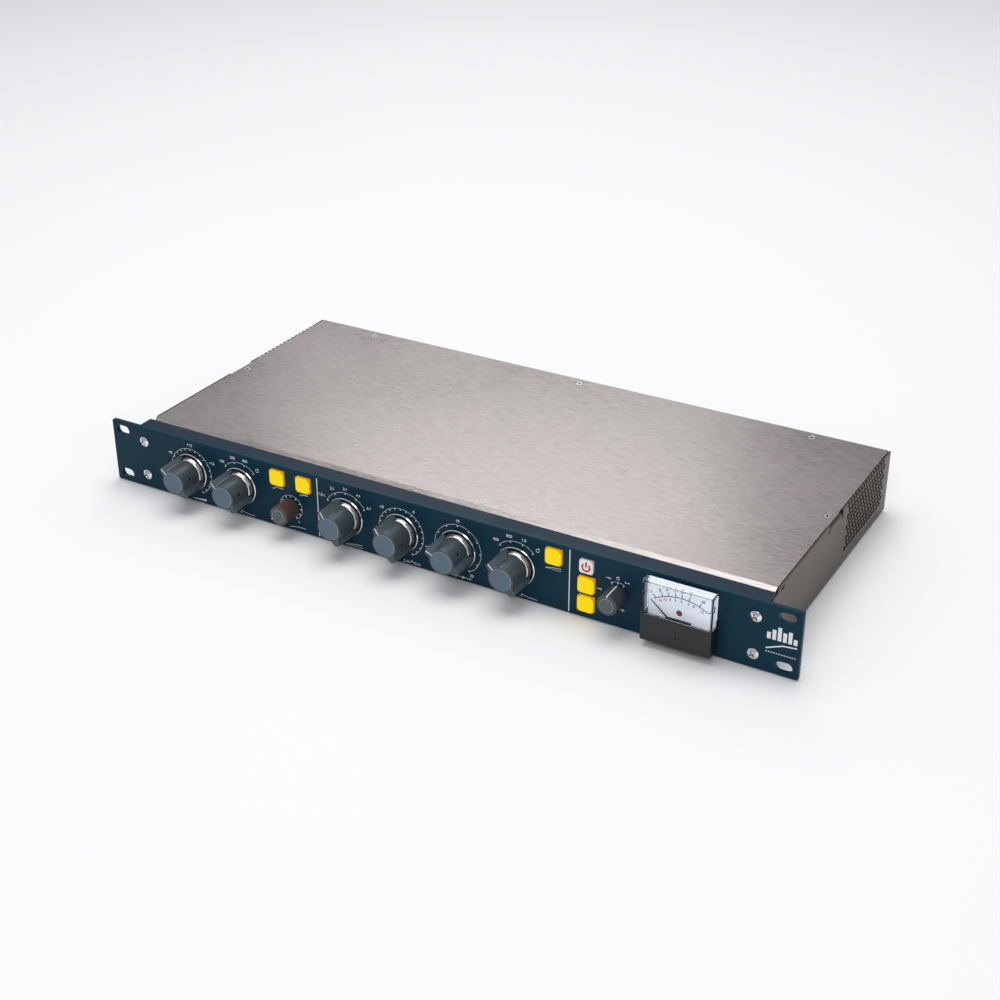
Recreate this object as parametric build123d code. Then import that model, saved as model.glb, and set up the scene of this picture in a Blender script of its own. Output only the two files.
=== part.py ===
"""One-unit 19-inch rack compressor.

Millimetres. +X is to the right seen from the front, +Y runs back into the rack, +Z is up. The origin is the centre
of the rack bolt pattern, on the panel's rear face, where the ears meet the rack rails.
"""
import os
from math import atan, cos, degrees, radians, sin

from build123d import *

# ---- Front panel and rack pattern ----
PANEL_W = 482.6
PANEL_H = 43.6
PANEL_T = 3.0
PANEL_CORNER_R = 1.0
RACK_SPACING_X = 465.1
RACK_SPACING_Z = 31.75
RACK_SLOT_LENGTH = 10.3
RACK_SLOT_W = 6.6
PANEL_SCREW_X = 214.5
PANEL_SCREW_Z = 12.1

# ---- Sheet metal ----
SHEET = 1.2
SUBFRAME_T = 1.5
CHASSIS_W = 440.0
CHASSIS_REAR = 207.8
TRAY_BOTTOM = -21.2
COVER_TOP = 21.1
WALL_TOP = COVER_TOP - SHEET
TRAY_FLOOR = TRAY_BOTTOM + SHEET
WALL_RIM = COVER_TOP - 0.2
COVER_GAP = 0.4
SUBFRAME_TOP = 21.7
FLANGE_REAR = 10.2
JOGGLE_DROP = 1.7
JOGGLE_FRONT = 12.0
JOGGLE_REAR = 17.0
COVER_FRONT = 8.6
TAB_FRONT = 96.7
TAB_REAR = 117.5
TAB_DEPTH = 13.0
COVER_SCREW_X = 214.0
COVER_SCREW_Y = 107.6
REAR_SCREW_X = 169.0
REAR_SCREW_Y = 201.8
REAR_FLANGE = 12.0

# ---- Vents: staggered round holes in both side walls ----
VENT_FRONT = 127.5
VENT_BOTTOM = -12.6
VENT_PITCH_Y = 4.6
VENT_PITCH_Z = 3.75
VENT_COLUMNS = 15
VENT_ROWS = 9
VENT_R = 1.8

# ---- Rotary controls: name, x, pointer angle (degrees, anticlockwise from +X seen from the front) ----
KNOB_ROW_Z = -0.3
BIG_KNOBS = [
    ("level", -176.9, 137.5),
    ("limit_recovery", -137.4, 135.0),
    ("ratio", -55.9, 120.0),
    ("threshold", -15.7, 122.0),
    ("gain", 24.5, 154.5),
    ("comp_recovery", 64.6, 135.0),
]
SMALL_KNOBS = [
    ("attack", -98.0, -5.4, 210.0),
    ("meter_select", 130.6, 0.0, 90.0),
]
SWITCHED = ("limit_recovery", "ratio", "comp_recovery", "meter_select")
SHAFT_R = 3.0
BORE_GAP = 0.05
KNOB_FIT = 0.05

# ---- Large knob, heights from the panel's front face ----
SKIRT_R = 12.8
SKIRT_LOW = 0.5
SKIRT_TOP = 1.7
BOSS_BASE_R = 10.3
BOSS_TOP_R = 9.5
BOSS_TOP = 4.2
BODY_BASE_R = 9.4
BODY_TOP_R = 8.3
KNOB_TOP = 19.2
WING_R = 12.5
WING_ROOT_X = 6.0
WING_END_X = 15.0
WING_BASE_HALF = (5.6, 1.9)
WING_TOP_HALF = (3.3, 0.9)
WING_FLUTES = 7
FLUTE_PITCH = 0.5
CAP_R = 7.1
CAP_RECESS = 0.5
CAP_TOP = 19.4
POINTER_IN = 6.8
POINTER_OUT = 11.9

# ---- Small knob ----
SMALL_R = 6.4
SMALL_LOW = 0.7
SMALL_TOP = 14.0
SMALL_FLUTES = 30
SMALL_CAP_R = 4.5

# ---- Square buttons: name, x, z, side ----
BUTTON_COLUMN_X = 110.7
BUTTONS = [
    ("limit_fast", -107.7, 13.0, 10.8),
    ("limit_in", -87.7, 13.0, 10.8),
    ("compress_in", 89.2, 13.1, 10.8),
    ("white", BUTTON_COLUMN_X, 12.8, 9.3),
    ("bypass", BUTTON_COLUMN_X, 0.4, 10.8),
    ("link", BUTTON_COLUMN_X, -12.3, 10.8),
]
BUTTON_PROUD = 1.1
BUTTON_GAP = 0.4
BUTTON_DEPTH = 8.0
HOUSING_LENGTH = 19.0
HOUSING_HEAD = 6.4
HOUSING_REAR_W = 9.4

# ---- Meter ----
METER_X = 171.5
METER_PROUD = 10.0
METER_W = 43.2
METER_BOTTOM = -17.8
METER_SPLIT = -0.1
METER_TOP = 20.8
WINDOW_W = 43.2
WINDOW_WALL = 1.6
WINDOW_BACK = 3.2
METER_FLANGE_W = 38.0
METER_FLANGE_T = 2.4
METER_CLIP_Z = 13.4
METER_CASE_W = 38.0
METER_CASE_BOTTOM = -14.0
METER_CASE_TOP = 15.0
METER_CASE_DEPTH = 20.0
METER_PIVOT_Z = -8.2
NEEDLE_ANGLE = 139.4
NEEDLE_LENGTH = 23.5
NEEDLE_HEIGHT = 4.6
ZERO_SCREW_Z = -9.6

# ---- Rear panel ----
REAR_Z = -0.6
IEC_X = 182.0
FUSE_X = 140.0
ROCKER_X = 108.0
XLR_X = (-120.0, -160.0)
XLR_SCREWS = ((-9.5, 12.0), (9.5, -12.0))
IEC_SCREW_X = 20.0
ROCKER_TILT = 10.0

# ---- Inside ----
STANDOFFS = [(-195, 30), (60, 30), (-195, 125), (60, 125), (-60, 30), (-60, 125)]
BOARD_Z = -13.6
TOROID_X = 165.0
TOROID_Y = 136.0


def front_local(shape, x, z):
    """Places a shape drawn with +Z out of the panel and +Y up, at (x, z) on the panel's front face."""
    return Pos(x, -PANEL_T, z) * Rot(90, 0, 0) * shape


def front_box(x_size, z_size, y_front, y_back, x=0.0, z=0.0):
    """A box centred at (x, z), from y_front to y_back."""
    return Pos(x, (y_front + y_back) / 2, z) * Box(x_size, y_back - y_front, z_size)


def front_disc(radius, y_front, y_back, x=0.0, z=0.0):
    """A round bar along Y centred at (x, z)."""
    return Pos(x, (y_front + y_back) / 2, z) * Rot(90, 0, 0) * Cylinder(radius, y_back - y_front)


def upright_disc(radius, z_low, z_high, x=0.0, y=0.0):
    """A round bar along Z centred at (x, y)."""
    return Pos(x, y, (z_low + z_high) / 2) * Cylinder(radius, z_high - z_low)


def box_between(low, high):
    """A box from its lowest corner to its highest."""
    size = [b - a for a, b in zip(low, high)]
    middle = [(a + b) / 2 for a, b in zip(low, high)]
    return Pos(*middle) * Box(*size)


def mirrored_x(shape):
    return mirror(shape, about=Plane.YZ)


def save(node, *solids):
    """Writes one node's solids."""
    shape = solids[0] if len(solids) == 1 else Compound(children=list(solids))
    export_step(shape, f"parts/{node}.step")


# ---------------------------------------------------------------- panel and subframe
def big_positions():
    return [(x, KNOB_ROW_Z) for _, x, _ in BIG_KNOBS]


def small_positions():
    return [(x, z) for _, x, z, _ in SMALL_KNOBS]


def button_cutters(grow, y_front, y_back):
    return [front_box(s + 2 * grow, s + 2 * grow, y_front, y_back, x, z) for _, x, z, s in BUTTONS]


def front_panel():
    plate = front_box(PANEL_W, PANEL_H, -PANEL_T, 0)
    plate = fillet(plate.edges().filter_by(Axis.Y), PANEL_CORNER_R)
    plate = chamfer(plate.faces().sort_by(Axis.Y)[0].edges(), 0.35)
    slot = Rot(90, 0, 0) * extrude(SlotOverall(RACK_SLOT_LENGTH, RACK_SLOT_W), 2 * PANEL_T, both=True)
    cutters = []
    for sx in (-1, 1):
        for sz in (-1, 1):
            cutters.append(Pos(sx * RACK_SPACING_X / 2, 0, sz * RACK_SPACING_Z / 2) * slot)
            cutters.append(front_disc(2.15, -4, 1, sx * PANEL_SCREW_X, sz * PANEL_SCREW_Z))
    cutters += [front_disc(7.6, -4, 1, x, z) for x, z in big_positions()]
    cutters += [front_disc(5.9, -4, 1, x, z) for x, z in small_positions()]
    cutters += button_cutters(BUTTON_GAP, -4, 1)
    case_middle = (METER_CASE_BOTTOM + METER_CASE_TOP) / 2
    case_height = METER_CASE_TOP - METER_CASE_BOTTOM
    cutters.append(front_box(METER_CASE_W + 0.6, case_height + 0.6, -4, 1, METER_X, case_middle))
    return plate - cutters


def front_subframe():
    """Folded channel behind the panel: web, bottom flange, and a top flange that reaches out over the walls."""
    half = CHASSIS_W / 2 - SHEET - 0.3
    reach = CHASSIS_W / 2 - 0.3
    bottom = TRAY_FLOOR
    web = box_between((-half, 0, bottom), (half, SUBFRAME_T, SUBFRAME_TOP))
    top = box_between((-half, 0, SUBFRAME_TOP - SUBFRAME_T), (half, FLANGE_REAR, SUBFRAME_TOP))
    low = box_between((-half, 0, bottom), (half, FLANGE_REAR, bottom + SUBFRAME_T))
    channel = web + top + low
    inner = channel.edges().filter_by(Axis.X).group_by(Axis.Y)[1]
    channel = fillet(inner, 0.5)
    for side in (-1, 1):
        x_low, x_high = sorted((side * half, side * reach))
        channel += box_between((x_low, 0, SUBFRAME_TOP - SUBFRAME_T), (x_high, FLANGE_REAR, SUBFRAME_TOP))
    cutters = [front_disc(4.6, -1, 2, x, z) for x, z in big_positions()]
    cutters += [front_disc(3.6, -1, 2, x, z) for x, z in small_positions()]
    cutters += button_cutters(BUTTON_GAP, -1, 2)
    case_middle = (METER_CASE_BOTTOM + METER_CASE_TOP) / 2
    case_height = METER_CASE_TOP - METER_CASE_BOTTOM
    cutters.append(front_box(METER_CASE_W + 0.6, case_height + 0.6, -1, 2, METER_X, case_middle))
    for sx in (-1, 1):
        for sz in (-1, 1):
            cutters.append(front_disc(1.9, -1, 2, sx * PANEL_SCREW_X, sz * PANEL_SCREW_Z))
        cutters.append(upright_disc(1.6, bottom - 1, bottom + 2, sx * 150, 6))
    cutters.append(upright_disc(1.6, bottom - 1, bottom + 2, 0, 6))
    return channel - cutters


# ---------------------------------------------------------------- chassis
def vent_cutters():
    """Staggered holes through one side wall, at +X."""
    holes = []
    for row in range(VENT_ROWS):
        shift = VENT_PITCH_Y / 2 if row % 2 else 0
        for column in range(VENT_COLUMNS):
            y = VENT_FRONT + VENT_R + shift + column * VENT_PITCH_Y
            z = VENT_BOTTOM + VENT_R + row * VENT_PITCH_Z
            holes.append(Pos(CHASSIS_W / 2, y, z) * Rot(0, 90, 0) * Cylinder(VENT_R, 4))
    return holes


def side_wall():
    """The +X wall: its top edge frames the lid and steps down at the front, and a bent-in tab carries the lid."""
    outer = CHASSIS_W / 2
    drop = WALL_TOP - JOGGLE_DROP
    outline = Polyline(
        (0.2, TRAY_BOTTOM), (CHASSIS_REAR, TRAY_BOTTOM), (CHASSIS_REAR, WALL_RIM), (JOGGLE_REAR + 0.5, WALL_RIM),
        (JOGGLE_REAR - 2.5, drop), (0.2, drop), close=True,
    )
    wall = extrude(Plane.YZ.offset(outer - SHEET) * make_face(outline), SHEET)
    notch_gap = 1.6
    bend_r = 2.4
    notches = [
        box_between((outer - 2 * SHEET, y, WALL_TOP - 4.4), (outer + 1, y + notch_gap, WALL_RIM + 1))
        for y in (TAB_FRONT - notch_gap, TAB_REAR)
    ]
    corner = box_between((outer - SHEET - 1, TAB_FRONT, WALL_TOP - bend_r), (outer + 1, TAB_REAR, WALL_RIM + 1))
    slot = box_between((outer - 2 * SHEET, 18.6, WALL_TOP - 1.9), (outer + 1, 23.6, WALL_TOP - 0.4))
    wall = wall - notches - corner - slot
    middle = (TAB_FRONT + TAB_REAR) / 2
    length = TAB_REAR - TAB_FRONT
    centre = Pos(outer - bend_r, middle, WALL_TOP - bend_r)
    ring = Rot(90, 0, 0) * (Cylinder(bend_r, length) - Cylinder(bend_r - SHEET, length))
    quarter = box_between((0, -length / 2, 0), (bend_r, length / 2, bend_r))
    bend = centre * (ring & quarter)
    tab_end = outer - TAB_DEPTH
    tab = box_between((tab_end, TAB_FRONT, WALL_TOP - SHEET), (outer - bend_r, TAB_REAR, WALL_TOP))
    tab = tab - upright_disc(1.3, WALL_TOP - 3, WALL_TOP + 1, COVER_SCREW_X, COVER_SCREW_Y)
    return wall + bend + tab - vent_cutters()


def chassis_tray():
    half = CHASSIS_W / 2
    floor = box_between((-half, 0.2, TRAY_BOTTOM), (half, CHASSIS_REAR, TRAY_FLOOR))
    wall = side_wall()
    tray = floor + wall + mirrored_x(wall)
    edges = [e for e in tray.edges().filter_by(Axis.Y) if e.length > 150 and e.center().Z < TRAY_BOTTOM + 0.1]
    tray = fillet(edges, 1.0)
    holes = [bottom_local(flush_screw_hole(), x, y) for x, y in bottom_screw_places()]
    holes += [upright_disc(1.3, TRAY_BOTTOM - 1, TRAY_FLOOR + 1, x, y) for x, y in STANDOFFS]
    return tray - holes


def bottom_screw_places():
    front = [(x, 6.0) for x in (-150, 0, 150)]
    rear = [(x, REAR_SCREW_Y - 1) for x in (-150, 0, 150)]
    return front + rear


def rear_panel():
    """Back plate with forward flanges at top and bottom, cut out for its connectors."""
    half = CHASSIS_W / 2 - SHEET - 0.2
    back = CHASSIS_REAR
    low = TRAY_FLOOR
    plate = box_between((-half, back - SHEET, low), (half, back, WALL_TOP))
    top = box_between((-half, back - REAR_FLANGE, WALL_TOP - SHEET), (half, back, WALL_TOP))
    bottom = box_between((-half, back - REAR_FLANGE, low), (half, back, low + SHEET))
    panel = plate + top + bottom
    cutters = [upright_disc(1.3, WALL_TOP - 3, WALL_TOP + 1, x, REAR_SCREW_Y) for x in rear_cover_places()]
    cutters += [upright_disc(1.3, low - 1, low + 2, x, y) for x, y in bottom_screw_places()[3:]]
    cutters.append(front_box(27.4, 20.4, back - 3, back + 1, IEC_X, REAR_Z))
    cutters.append(front_disc(6.4, back - 3, back + 1, FUSE_X, REAR_Z))
    cutters.append(front_box(19.4, 13.2, back - 3, back + 1, ROCKER_X, REAR_Z))
    cutters += [front_disc(11.9, back - 3, back + 1, x, REAR_Z) for x in XLR_X]
    for x in XLR_X:
        cutters += [front_disc(1.3, back - 3, back + 1, x - dx, REAR_Z + dz) for dx, dz in XLR_SCREWS]
    cutters += [front_disc(1.3, back - 3, back + 1, IEC_X + s * IEC_SCREW_X, REAR_Z) for s in (-1, 1)]
    return panel - cutters


def rear_cover_places():
    return (-REAR_SCREW_X, 0.0, REAR_SCREW_X)


def cover_screw_places():
    sides = [(s * COVER_SCREW_X, COVER_SCREW_Y) for s in (-1, 1)]
    return sides + [(x, REAR_SCREW_Y) for x in rear_cover_places()]


def top_cover():
    """Flat lid between the side walls; its front edge steps down and tucks under the subframe's flange."""
    half = CHASSIS_W / 2 - SHEET - COVER_GAP
    low = WALL_TOP
    step = JOGGLE_DROP
    outline = Polyline(
        (COVER_FRONT, low - step), (JOGGLE_FRONT, low - step), (JOGGLE_REAR, low), (CHASSIS_REAR, low),
        (CHASSIS_REAR, COVER_TOP), (JOGGLE_REAR - 0.3, COVER_TOP), (JOGGLE_FRONT - 0.3, COVER_TOP - step),
        (COVER_FRONT, COVER_TOP - step), close=True,
    )
    lid = extrude(Plane.YZ.offset(-half) * make_face(outline), 2 * half)
    return lid - [Pos(x, y, COVER_TOP) * flush_screw_hole() for x, y in cover_screw_places()]


def flush_screw_hole():
    """Clearance hole and countersink, drawn with the outer face at 0 and +Z outward."""
    return Pos(0, 0, -1) * Cylinder(1.7, 4) + Pos(0, 0, -0.6) * Cone(1.7, 3.2, 1.4)


def flush_screw(length):
    """Countersunk cross-head screw, drawn with the outer face at 0 and +Z outward."""
    head = Pos(0, 0, -0.7) * Cone(1.5, 2.6, 1.0)
    shank = Pos(0, 0, -(length + 1.1) / 2) * Cylinder(1.25, length - 1.1)
    recess = [Pos(0, 0, -0.5) * Rot(0, 0, a) * Box(2.9, 0.6, 1.1) for a in (20, 110)]
    return head + shank - recess


def panel_screws():
    """Four pan-head screws: a domed head in front of the panel, a shank through panel and subframe."""
    dome = Pos(0, 0, -3.6) * Sphere(5.7)
    head = (Pos(0, 0, 1.1) * Cylinder(3.5, 2.2)) & dome
    shank = Pos(0, 0, -3.5) * Cylinder(1.75, 7.0)
    recess = [Pos(0, 0, 1.9) * Rot(0, 0, a) * Box(4.0, 0.9, 1.8) for a in (35, 125)]
    screw = head + shank - recess - Pos(0, 0, 1.6) * Cone(0.5, 1.3, 1.6)
    return [
        front_local(screw, sx * PANEL_SCREW_X, sz * PANEL_SCREW_Z) for sx in (-1, 1) for sz in (-1, 1)
    ]


def bottom_local(shape, x, y):
    """Places a shape drawn with +Z outward at (x, y) on the tray's underside."""
    return Pos(x, y, TRAY_BOTTOM) * Rot(180, 0, 0) * shape


def chassis_screws():
    """Short flush screws: six up through the tray's floor, six through the connector flanges."""
    screw = flush_screw(5.0)
    solids = [bottom_local(screw, x, y) for x, y in bottom_screw_places()]
    on_flange = Pos(0, 0, 2.0) * screw
    for x in XLR_X:
        solids += [rear_local(Pos(dx, dz, 0) * on_flange, x) for dx, dz in XLR_SCREWS]
    solids += [rear_local(Pos(s * IEC_SCREW_X, 0, 0) * on_flange, IEC_X) for s in (-1, 1)]
    return solids


# ---------------------------------------------------------------- knobs
def spindle():
    """Turned metal spindle of a large knob: shaft, black-faced skirt disc with a bright edge, polished boss."""
    shaft = Pos(0, 0, -2.25) * Cylinder(SHAFT_R, 31.5)
    disc_height = SKIRT_TOP - SKIRT_LOW
    disc = Pos(0, 0, (SKIRT_TOP + SKIRT_LOW) / 2) * Cylinder(SKIRT_R, disc_height)
    disc = chamfer(disc.faces().sort_by(Axis.Z)[-1].edges(), 0.45)
    boss = Pos(0, 0, (BOSS_TOP + SKIRT_TOP) / 2) * Cone(BOSS_BASE_R, BOSS_TOP_R, BOSS_TOP - SKIRT_TOP)
    boss = fillet(boss.faces().sort_by(Axis.Z)[-1].edges(), 1.2)
    return disc + boss + shaft


def wing_section(z, halves):
    """Both fins' outline at one height: widest at the body, narrowing to the tips."""
    root, end = halves
    right = [(WING_ROOT_X, -root), (WING_END_X, -end), (WING_END_X, end), (WING_ROOT_X, root)]
    left = [(-x, -y) for x, y in right]
    return Pos(0, 0, z) * make_face(Polyline(*right, *left, close=True))


def wing():
    """Both fins of a large knob: a tapered blade across the axis, rounded to the skirt's radius, fluted flanks."""
    low = SKIRT_TOP + 0.1
    height = KNOB_TOP - low
    blade = loft([wing_section(low, WING_BASE_HALF), wing_section(KNOB_TOP, WING_TOP_HALF)], ruled=True)
    rounding = Pos(0, 0, low + height / 2) * Cone(WING_R, WING_R - 0.3, height)
    rounding = chamfer(rounding.faces().sort_by(Axis.Z)[-1].edges(), 0.3)
    blade = blade & rounding
    flutes = []
    for k in range(WING_FLUTES):
        x = 8.9 + FLUTE_PITCH * k
        share = (x - WING_ROOT_X) / (WING_END_X - WING_ROOT_X)
        at_base, at_top = [root + (end - root) * share for root, end in (WING_BASE_HALF, WING_TOP_HALF)]
        tilt = degrees(atan((at_base - at_top) / height))
        for side in (-1, 1):
            groove = Rot(side * tilt, 0, 0) * Rot(0, 0, 45) * Box(0.3, 0.3, 30)
            place = side * (at_base + at_top) / 2
            flutes += [Pos(end_side * x, place, low + height / 2) * groove for end_side in (-1, 1)]
    return blade - flutes


def big_knob():
    """Moulded body: tapered round core, two fins, cap recess, line grooves, bore and set-screw hole."""
    core = Pos(0, 0, (BOSS_TOP + 0.1 + KNOB_TOP) / 2) * Cone(BODY_BASE_R, BODY_TOP_R, KNOB_TOP - BOSS_TOP - 0.1)
    core = fillet(core.faces().sort_by(Axis.Z)[-1].edges(), 0.35)
    body = core + wing()
    body = body - Pos(0, 0, BOSS_TOP / 2) * Cylinder(BOSS_BASE_R + 0.1, BOSS_TOP + 0.2)
    body = body - Pos(0, 0, KNOB_TOP - CAP_RECESS / 2) * Cylinder(CAP_R + 0.05, CAP_RECESS)
    groove = Pos((POINTER_IN + POINTER_OUT) / 2, 0, KNOB_TOP) * Box(POINTER_OUT - POINTER_IN, 0.8, 0.5)
    body = body - groove - Rot(0, 0, 180) * groove
    body = body - Pos(0, 0, 5) * Cylinder(SHAFT_R + KNOB_FIT, 19)
    set_screw = Rot(0, 0, -125) * Pos(6, 0, 12.4) * Rot(0, 90, 0) * Cylinder(1.2, 8)
    return body - set_screw


def knob_cap():
    disc = Pos(0, 0, (KNOB_TOP - CAP_RECESS + CAP_TOP) / 2) * Cylinder(CAP_R, CAP_TOP - KNOB_TOP + CAP_RECESS)
    return chamfer(disc.faces().sort_by(Axis.Z)[-1].edges(), 0.25)


def small_knob():
    """Fluted round knob with a plain front rim and a recess for its cap."""
    length = SMALL_TOP - SMALL_LOW
    body = Pos(0, 0, (SMALL_TOP + SMALL_LOW) / 2) * Cylinder(SMALL_R, length)
    body = fillet(body.faces().sort_by(Axis.Z)[-1].edges(), 0.5)
    flute = Pos(SMALL_R, 0, SMALL_TOP / 2 - 0.8) * Cylinder(0.42, SMALL_TOP)
    turn = 360 / SMALL_FLUTES
    body = body - [Rot(0, 0, (k + 0.5) * turn) * flute for k in range(SMALL_FLUTES)]
    body = body - Pos(0, 0, SMALL_TOP) * Cylinder(SMALL_CAP_R + 0.05, 1.0)
    body = body - Pos(5.6, 0, SMALL_TOP) * Box(1.3, 0.8, 0.5)
    body = body - Pos(SMALL_R, 0, SMALL_TOP / 2) * Box(0.5, 0.8, SMALL_TOP + 1)
    return body - Pos(0, 0, 4.5) * Cylinder(SHAFT_R + KNOB_FIT, 13)


def small_cap():
    disc = Pos(0, 0, SMALL_TOP) * Cylinder(SMALL_CAP_R, 1.0)
    return fillet(disc.faces().sort_by(Axis.Z)[-1].edges(), 0.3)


def control_body(switched, small):
    """Potentiometer can or wafer switch: threaded bushing with a running bore, and a body behind the subframe."""
    bushing_r = 3.5 if small else 4.5
    can_r = 8.0 if small else (13.0 if switched else 12.0)
    can_length = 17.0 if switched else 11.0
    behind = -PANEL_T - SUBFRAME_T
    bushing = Pos(0, 0, (behind - 0.4) / 2) * Cylinder(bushing_r, 0.4 - behind - 0.8)
    can = Pos(0, 0, behind - can_length / 2) * Cylinder(can_r, can_length)
    can = chamfer(can.faces().sort_by(Axis.Z)[0].edges(), 0.6)
    terminals = [
        Pos(dx, -can_r - 0.5, behind - can_length / 2) * Box(1.6, 5.0, 0.8) for dx in (-4.5, 0, 4.5)
    ]
    if small:
        terminals = [Pos(0, 0, behind - can_length - 1) * Box(6, 0.8, 3)]
    body = bushing + can + terminals
    if switched and not small:
        rings = [
            Pos(0, 0, behind - z) * (Cylinder(can_r + 1, 2.0) - Cylinder(can_r - 1.2, 2.0)) for z in (5.5, 11.5)
        ]
        body = body - rings
    return body - Pos(0, 0, -9) * Cylinder(SHAFT_R + BORE_GAP, 18.1)


def control_nut(small):
    across = 10.0 if small else 12.0
    bushing_r = 3.5 if small else 4.5
    nut = extrude(RegularPolygon(across / 2, 6, major_radius=False), 2.0)
    return Pos(0, 0, -PANEL_T) * (nut - Pos(0, 0, 1) * Cylinder(bushing_r + 0.02, 3))


def write_controls():
    knob = big_knob()
    cap = knob_cap()
    metal = spindle()
    for name, x, pointer in BIG_KNOBS:
        turn = Rot(0, 0, pointer)
        save(f"{name}_knob", front_local(turn * knob, x, KNOB_ROW_Z))
        save(f"{name}_knob_cap", front_local(cap, x, KNOB_ROW_Z))
        save(f"{name}_spindle", front_local(metal, x, KNOB_ROW_Z))
    knob = small_knob()
    cap = small_cap()
    shaft = Pos(0, 0, -3) * Cylinder(SHAFT_R, 28)
    for name, x, z, pointer in SMALL_KNOBS:
        save(f"{name}_knob", front_local(Rot(0, 0, pointer) * knob, x, z))
        save(f"{name}_knob_cap", front_local(cap, x, z))
        save(f"{name}_shaft", front_local(shaft, x, z))
    places = [(name, x, KNOB_ROW_Z, False) for name, x, _ in BIG_KNOBS]
    places += [(name, x, z, True) for name, x, z, _ in SMALL_KNOBS]
    groups = {"rotary_switch_bodies": [], "potentiometer_bodies": []}
    nuts = []
    for name, x, z, small in places:
        switched = name in SWITCHED
        group = "rotary_switch_bodies" if switched else "potentiometer_bodies"
        groups[group].append(front_local(control_body(switched, small), x, z))
        nuts.append(front_local(control_nut(small), x, z))
    for group, solids in groups.items():
        save(group, *solids)
    save("control_nuts", *nuts)


# ---------------------------------------------------------------- buttons
def button_cap(side):
    """Square lens with a crowned, rounded front and a plunger behind."""
    lens = Pos(0, 0, BUTTON_PROUD - BUTTON_DEPTH / 2) * Box(side, side, BUTTON_DEPTH)
    lens = fillet(lens.edges().filter_by(Axis.Z), 1.5)
    lens = fillet(lens.faces().sort_by(Axis.Z)[-1].edges(), 0.5)
    plunger = Pos(0, 0, BUTTON_PROUD - BUTTON_DEPTH - 3) * Box(5, 5, 6)
    return lens + plunger


def button_housing(side):
    """Switch body behind the subframe: a square front for the lens, a slimmer rear that clears the lid's lip."""
    front = -PANEL_T - SUBFRAME_T
    outer = side + 2 * BUTTON_GAP + 0.6
    head = Pos(0, 0, front - HOUSING_HEAD / 2) * Box(outer, outer, HOUSING_HEAD)
    head = chamfer(head.faces().sort_by(Axis.Z)[-1].edges().filter_by(Axis.X), 0.25, 0.6)
    rear_length = HOUSING_LENGTH - HOUSING_HEAD
    rear = Pos(0, 0, front - HOUSING_HEAD - rear_length / 2) * Box(HOUSING_REAR_W, HOUSING_REAR_W, rear_length)
    pocket = Pos(0, 0, front) * Box(side + 2 * BUTTON_GAP, side + 2 * BUTTON_GAP, 10)
    well = Pos(0, 0, front - 8) * Box(5.6, 5.6, 14)
    pins = [Pos(dx, dy, front - HOUSING_LENGTH - 1.5) * Box(0.8, 0.8, 3) for dx in (-3, 3) for dy in (-3, 3)]
    return head + rear - pocket - well + pins


def write_buttons():
    housings = []
    for name, x, z, side in BUTTONS:
        save(f"{name}_button", front_local(button_cap(side), x, z))
        housings.append(front_local(button_housing(side), x, z))
    save("button_switch_bodies", *housings)


# ---------------------------------------------------------------- meter
def meter_case():
    """Moulded tub through the panel, open at the front, with a backing flange in front of the panel."""
    middle = (METER_CASE_BOTTOM + METER_CASE_TOP) / 2
    height = METER_CASE_TOP - METER_CASE_BOTTOM
    tub = Pos(0, middle, -METER_CASE_DEPTH / 2) * Box(METER_CASE_W, height, METER_CASE_DEPTH)
    hollow = Pos(0, middle, 0) * Box(METER_CASE_W - 3, height - 3, 2 * METER_CASE_DEPTH - 3)
    flange_height = METER_TOP - METER_BOTTOM - 4.0
    flange_middle = (METER_TOP + METER_BOTTOM) / 2
    flange = Pos(0, flange_middle, METER_FLANGE_T / 2) * Box(METER_FLANGE_W, flange_height, METER_FLANGE_T)
    opening = Pos(0, middle, 0) * Box(METER_CASE_W - 3, height - 3, 30)
    studs = [Pos(dx, middle, -METER_CASE_DEPTH - 3) * Cylinder(1.5, 6) for dx in (-11, 11)]
    return (tub - hollow) + (flange - opening) + studs


def meter_window():
    """Clear moulding: a thick-walled box held off the panel, open at the back and below, front edges chamfered."""
    half = WINDOW_W / 2
    outer = box_between((-half, METER_SPLIT, WINDOW_BACK), (half, METER_TOP, METER_PROUD))
    front = outer.faces().sort_by(Axis.Z)[-1]
    outer = chamfer([e for e in front.edges() if e.center().Y > METER_SPLIT + 1], 0.9)
    wall = WINDOW_WALL
    inner = box_between(
        (wall - half, METER_SPLIT - 1, WINDOW_BACK - 1), (half - wall, METER_TOP - wall, METER_PROUD - wall)
    )
    clip = Pos(half, METER_CLIP_Z, 7.6) * Box(1.2, 3.6, 1.6)
    return outer - inner - clip - mirrored_x(clip)


def meter_bezel():
    """Black lower bezel: a hollow box with a hole for the zero-adjust screw."""
    height = METER_SPLIT - METER_BOTTOM
    middle = (METER_SPLIT + METER_BOTTOM) / 2
    outer = Pos(0, middle, METER_PROUD / 2) * Box(METER_W, height, METER_PROUD)
    outer = fillet(outer.edges().filter_by(Axis.Z), 0.6)
    outer = fillet(outer.faces().sort_by(Axis.Z)[-1].edges(), 0.4)
    inner = box_between(
        (1.6 - METER_W / 2, METER_BOTTOM + 1.6, -1), (METER_W / 2 - 1.6, METER_SPLIT + 1, METER_PROUD - 1.6)
    )
    hole = Pos(0, ZERO_SCREW_Z, METER_PROUD) * Cylinder(2.1, 6)
    dish = Pos(0, ZERO_SCREW_Z, METER_PROUD) * Cone(2.1, 2.9, 0.9)
    return outer - inner - hole - dish


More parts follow.
